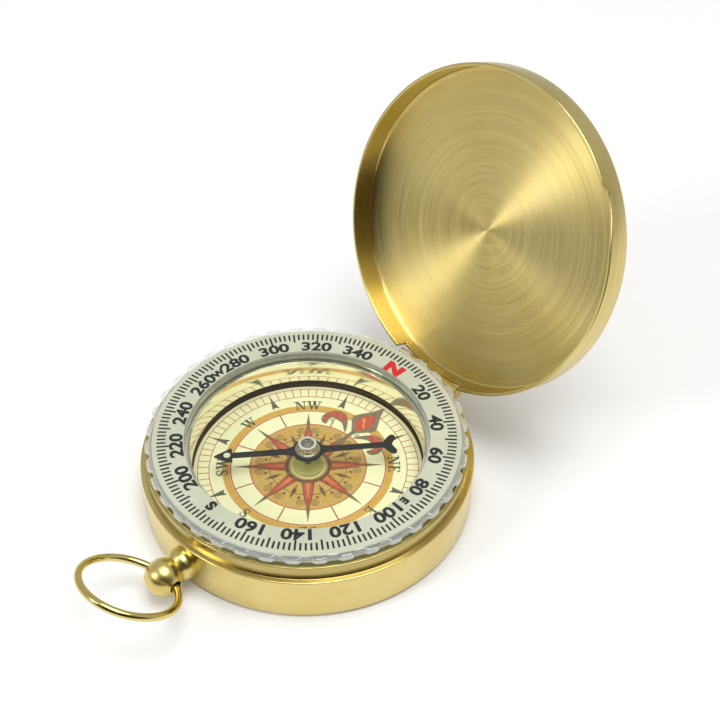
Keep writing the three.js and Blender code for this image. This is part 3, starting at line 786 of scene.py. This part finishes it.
def needleBlade():
    c = needle
    base = c["tip"] - 2.7
    arm, start = 0.55, math.asin(0.9 / c["hub"])
    hubArc = np.linspace(start, pi - start, 24)
    half = [(c["tip"], 0.0), (c["tip"] - 0.1, 0.12), (base + 0.15, 1.4), (base - 0.05, 1.25), (base, 0.5),
            (c["hub"] + 0.9, arm)]
    half += [(c["hub"] * math.cos(a), c["hub"] * math.sin(a)) for a in hubArc]
    tail = [(2.1, 0.5), (1.3, 1.5), (0.75, 1.95), (0.2, 1.8), (0.12, 1.25), (0.6, 0.4), (0.75, 0.0)]
    half += [(-c["hub"] - 0.9, arm)] + [(x - c["tail"], y) for x, y in tail]
    half = np.array(half)
    t = np.linspace(pi, 0, 33)
    hole = np.c_[c["hole"] * np.cos(t), c["hole"] * np.sin(t)]
    n, m = len(half), len(hole)
    flip = np.array([1, -1])
    flat = np.concatenate([half, half[1:-1] * flip, hole, hole[1:-1] * flip])
    mirroredHalf = np.concatenate([[0], n + np.arange(n - 2), [n - 1]])
    holeAt = 2 * n - 2
    mirroredHole = np.concatenate([[holeAt], holeAt + m + np.arange(m - 2), [holeAt + m - 1]])
    upper = np.concatenate([np.arange(n), holeAt + np.arange(m)]).tolist()
    lower = np.concatenate([mirroredHalf, mirroredHole]).tolist()[::-1]
    count = len(flat)
    rims = [np.concatenate([np.arange(n), mirroredHalf[-2:0:-1]]),
            np.concatenate([holeAt + np.arange(m), mirroredHole[-2:0:-1]])]
    faces = [upper, lower] + [[count + i for i in face[::-1]] for face in (upper, lower)]
    for rim in rims:
        after = np.roll(rim, -1)
        sides = np.stack([rim, after, count + after, count + rim], 1)
        faces += sides[:, ::-1].tolist()
    verts = np.concatenate([np.c_[flat, np.full(count, c["low"] + c["thick"])],
                            np.c_[flat, np.full(count, c["low"])]])
    blade = gathered("needleBlade", [(verts, faces)], needleBlack, c["azimuth"])
    bevel = blade.modifiers.new("edge", "BEVEL")
    bevel.width, bevel.segments, bevel.limit_method = 0.05 * mm, 2, "ANGLE"
    fit(blade, "needle", "needle_black", "needle_blade")
    top = c["low"] + c["thick"]
    dot = gathered("needleLume", [flatRing(0.01, 0.52, top - 0.02, top + 0.05, 32, (base + 0.75, 0))],
                   lumePaint, c["azimuth"])
    fit(dot, "needle", "needle_black")


def needleBearing():
    c = needle
    top, high = c["low"] + c["thick"], c["capTop"]
    cap = turned("needleCap", rounded([
        (0, high - 0.18), (0.75, high - 0.18, 0.08), (0.9, high, 0.08), (1.3, high, 0.08),
        (1.42, high - 0.12), (1.5, top + 0.45, 0.2),
        (c["capFlare"], top + 0.3), (c["capFlare"], top + 0.01), (1.45, top + 0.01),
        (1.45, c["low"] - 0.2), (0.95, c["low"] - 0.2),
        (0.58, 8.15), (0.58, high - 0.45), (0, high - 0.45),
    ], 0.06), capClear, 96)
    fit(cap, "needle", "cap_clear", "needle_cap")
    jewel = turned("needleJewel", rounded([
        (0, high - 0.46), (c["jewel"], high - 0.46), (c["jewel"], 8.25), (0.25, 8.25), (0, 8.5),
    ], 0.06), jewelGrey, 48)
    fit(jewel, "needle", "jewel", "needle_jewel")
    # a dark ring painted as the shade in the recess of the clear cap
    recessLow, recessTop = high - 0.3, high - 0.19
    shadow = turned("capRecess", section([
        (0.6, recessLow), (0.88, recessLow), (0.88, recessTop), (0.6, recessTop),
    ], 0.02), cupShade, 64, ringSection=True)
    fit(shadow, "needle", "cap_clear")
    # a white ring painted as the glint on the rim of the clear cap
    rimLow = high - 0.1
    rim = turned("capRimGlint", section([
        (1.0, rimLow), (1.36, rimLow), (1.36, high), (1.0, high),
    ], 0.04), capGlint, 96, ringSection=True)
    fit(rim, "needle", "cap_clear")


# Glass disc and the clear bezel that turns round it, with forty lobes on its rim.
bezel = {
    "low": 9.95, "top": 11.35, "bore": 18.1, "glass": 17.95, "glassLow": 9.7, "glassTop": 11.25,
    "rootR": 23.45, "tipR": 24.0, "teeth": 40, "skirtIn": 21.6, "skirtOut": 22.2, "skirtLow": 8.9,
    "beadR": 22.45, "rim": 23.05,
    "scaleIn": 18.3, "scaleOut": 23.0, "scaleTop": 11.3, "scaleThick": 0.35,
}


def bezelPieces():
    c = bezel
    glass = turned("watchGlass", rounded([
        (0, c["glassLow"]), (c["glass"], c["glassLow"]), (c["glass"], c["glassTop"], 0.2),
        (0, c["glassTop"]),
    ], 0.1), watchGlass)
    fit(glass, "case", "glass", "glass_disc")
    scaleLow = c["scaleTop"] - c["scaleThick"]
    profile = section([
        (c["bore"], c["low"]), (c["skirtIn"], c["low"]), (c["skirtIn"], c["skirtLow"]),
        (c["beadR"], c["skirtLow"]),
        (c["beadR"], c["skirtLow"] + 0.3), (c["skirtOut"], c["skirtLow"] + 0.3), (c["skirtOut"], c["low"]),
        (c["rootR"] - 0.1, c["low"], 0.02), (c["rootR"] - 0.1, c["low"] + 0.45, 0.02),
        (c["tipR"], c["low"] + 0.45, 0.1),
        (c["tipR"], c["top"] - 0.1, 0.16), (c["rootR"] - 0.25, c["top"], 0.08), (c["rim"], c["top"]),
        (c["rim"], scaleLow), (c["bore"], scaleLow),
    ], 0.05, 3)

    # lobe: radius beyond the root is scaled by a soft square wave of the angle, teeth times round
    def lobes(r, z, t):
        wave = np.cos(t * c["teeth"])
        lobe = 1 / (1 + np.exp(-6 * (wave + 0.15)))
        root = c["rootR"] - 0.1
        return np.where(r > root, root + (r - root) * (0.12 + 0.88 * lobe), r), z

    ring = turned("bezelRing", profile, bezelClear, around=c["teeth"] * 20, ringSection=True,
                  bend=lobes, angle=50)
    fit(ring, "bezel", "bezel_clear", "bezel_ring")
    scale = turned("scaleRing", section([
        (c["scaleIn"], scaleLow + 0.01), (c["scaleOut"], scaleLow + 0.01), (c["scaleOut"], c["scaleTop"]),
        (c["scaleIn"], c["scaleTop"]),
    ], 0.05), scaleCard, ringSection=True)
    fit(scale, "bezel", "scale", "scale_ring")


# Degree scale: ticks every two degrees, numbers every twenty, compass letters at the quarters.
degrees = {
    "zero": 95.3, "outer": 22.25, "inner": 20.95, "longInner": 20.45, "tick": 0.3, "low": 11.29,
    "high": 11.325,
    "numberAt": 19.42, "numberHigh": 2.05, "bold": 0.034, "wide": 1.22,
}


# A word as a thin mesh, one unit high and centred, made from the built-in sans letters.
def wordMesh(word, bold):
    curve = bpy.data.curves.new("word", "FONT")
    curve.body, curve.resolution_u, curve.extrude, curve.offset = word, 4, 0.1, bold
    holder = bpy.data.objects.new("word", curve)
    bpy.context.scene.collection.objects.link(holder)
    mesh = bpy.data.meshes.new_from_object(holder.evaluated_get(bpy.context.evaluated_depsgraph_get()))
    verts = np.empty(len(mesh.vertices) * 3)
    mesh.vertices.foreach_get("co", verts)
    verts = verts.reshape(-1, 3)
    faces = [list(p.vertices) for p in mesh.polygons]
    bpy.data.objects.remove(holder)
    bpy.data.curves.remove(curve)
    bpy.data.meshes.remove(mesh)
    lowest, highest = verts.min(0), verts.max(0)
    verts[:, :2] = (verts[:, :2] - (lowest[:2] + highest[:2]) / 2) / (highest[1] - lowest[1])
    return verts, faces


# Polar place: angle = zero - bearing - x / radius, distance = radius + y.
def arcWord(word, bearing, radius, height, bold, stretch=1.0):
    c = degrees
    verts, faces = wordMesh(word, bold)
    x, y = verts[:, 0] * height * stretch, verts[:, 1] * height
    t = math.radians(c["zero"] - bearing) - x / radius
    z = np.where(verts[:, 2] > 0, c["high"], c["low"])
    return np.c_[(radius + y) * np.cos(t), (radius + y) * np.sin(t), z], faces


def degreeScale():
    c = degrees
    black = []
    for bearing in range(0, 360, 2):
        inner = c["longInner"] if bearing % 10 == 0 else c["inner"]
        half = c["tick"] / 2
        bar = [(inner, -half), (c["outer"], -half), (c["outer"], half), (inner, half)]
        black.append(prism(turnZ(np.asarray(bar), c["zero"] - bearing), c["low"], c["high"]))
    for bearing in range(20, 360, 20):
        if bearing != 180:
            black.append(arcWord(str(bearing), bearing, c["numberAt"], c["numberHigh"], c["bold"],
                                 c["wide"]))
    black.append(arcWord("E", 90, 19.3, 1.35, 0.06, 1.1))
    black.append(arcWord("W", 270, 19.3, 1.35, 0.06, 1.1))
    black.append(arcWord("S", 180, 19.3, 1.8, 0.06, 1.1))
    fit(gathered("scaleMarks", black, inkBlack), "bezel", "scale")
    fit(gathered("scaleNorth", [arcWord("N", 0, 19.4, 2.35, 0.075, 1.4)], inkBright), "bezel", "scale")


# The carried parts keep their shape and take their finish here.
carried = {
    "case_hinge_lug": hingeBrass, "lid_hinge_lug": hingeBrass, "hinge_pin": hingeBrass,
    "crown_nut": nutBrass,
    "seating_pad": padFelt, "carrier_ring": carrierOlive, "friction_ring": frictionBlack,
}


def finishCarried():
    for name, material in carried.items():
        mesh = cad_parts[name].data
        mesh.materials.clear()
        mesh.materials.append(material)


caseShell()
lidShell()
crownPieces()
bowRing()
say("brass turned")
capsulePieces()
rosePrint()
dialLetters()
lilyPrint()
needleBlade()
needleBearing()
say("capsule and dial printed")
bezelPieces()
degreeScale()
finishCarried()
say("bezel and scale fitted")


# Studio: a white table, a broad soft box overhead, a smaller one in front to the left, and a dark
# flag on the viewer's side that only polished faces see.
studio = {
    "table": 0.9, "soft": 0.5, "softPlace": (0.12, 0.03, 0.78), "softPower": 3.7,
    "front": 0.14, "frontPlace": (-0.10, -0.40, 0.29), "frontPower": 0.62, "surround": 0.54,
    "flagNear": 0.15, "flagHigh": 0.2, "flagHalf": 0.25,
}
view = {"azimuth": 48.05, "elevation": 42.7, "roll": 0.19, "away": 215.13, "right": 7.882, "up": 19.298,
        "lens": 69.84}


def aimedAt(place, target):
    back = np.asarray(place, float) - np.asarray(target, float)
    back /= np.linalg.norm(back)
    right = np.cross((0, 0, 1), back)
    right /= np.linalg.norm(right)
    up = np.cross(back, right)
    return Matrix([[right[i], up[i], back[i], place[i]] for i in range(3)] + [[0, 0, 0, 1]])


def softBox(name, size, place, target, power):
    lamp = bpy.data.lights.new(name, "AREA")
    lamp.shape, lamp.size, lamp.energy = "SQUARE", size, power
    holder = bpy.data.objects.new(name, lamp)
    holder.matrix_world = aimedAt(place, target)
    bpy.context.scene.collection.objects.link(holder)


def setStudio():
    c = studio
    half = c["table"]
    corners = np.array([(-half, -half, 0), (half, -half, 0), (half, half, 0), (-half, half, 0)], float)
    mesh = bpy.data.meshes.new("table")
    mesh.from_pydata((corners - (0, 0, 0.00002)).tolist(), [], [[0, 1, 2, 3]])
    mesh.materials.append(plainFinish("tablePaper", (0.93, 0.93, 0.93, 1), (0.91, 0.91, 0.91, 1), 0.7,
                                      grain=500, mottle=12))
    table = bpy.data.objects.new("table", mesh)
    bpy.context.scene.collection.objects.link(table)
    softBox("softBox", c["soft"], c["softPlace"], (0, 0.02, 0.02), c["softPower"])
    softBox("frontBox", c["front"], c["frontPlace"], (0, 0, 0.01), c["frontPower"])
    az = math.radians(view["azimuth"])
    along, out = np.array([math.cos(az), math.sin(az), 0]), np.array([math.sin(az), -math.cos(az), 0])
    foot = [out * c["flagNear"] + along * side * c["flagHalf"] for side in (-1, 1)]
    head = [p + np.array([0, 0, c["flagHigh"]]) for p in foot[::-1]]
    mesh = bpy.data.meshes.new("flag")
    mesh.from_pydata(np.array(foot + head).tolist(), [], [[0, 1, 2, 3]])
    mesh.materials.append(plainFinish("flagCloth", (0.02, 0.018, 0.015, 1), (0.03, 0.026, 0.02, 1), 0.9))
    flag = bpy.data.objects.new("flag", mesh)
    bpy.context.scene.collection.objects.link(flag)
    flag.visible_camera = flag.visible_diffuse = flag.visible_shadow = flag.visible_transmission = False
    world = bpy.data.worlds.new("surround")
    world.use_nodes = True
    world.node_tree.nodes["Background"].inputs["Color"].default_value = (1, 1, 1, 1)
    world.node_tree.nodes["Background"].inputs["Strength"].default_value = c["surround"]
    bpy.context.scene.world = world
    bpy.context.scene.view_settings.view_transform = "Standard"


# Camera axes from azimuth and elevation, then the roll turns right and up about the view line.
def setCamera():
    c = view
    az, el, roll = (math.radians(c[k]) for k in ("azimuth", "elevation", "roll"))
    back = np.array([math.sin(az) * math.cos(el), -math.cos(az) * math.cos(el), math.sin(el)])
    right = np.array([math.cos(az), math.sin(az), 0])
    up = np.cross(back, right)
    across = math.cos(roll) * right + math.sin(roll) * up
    above = math.cos(roll) * up - math.sin(roll) * right
    place = (back * c["away"] + across * c["right"] + above * c["up"]) * mm
    lens = bpy.data.cameras.new("camera")
    lens.lens, lens.sensor_width, lens.clip_start = c["lens"], 36, 0.01
    holder = bpy.data.objects.new("camera", lens)
    rows = [[across[i], above[i], back[i], place[i]] for i in range(3)]
    holder.matrix_world = Matrix(rows + [[0, 0, 0, 1]])
    bpy.context.scene.collection.objects.link(holder)
    bpy.context.scene.camera = holder


setStudio()
setCamera()
bpy.context.view_layer.update()
say("studio set")
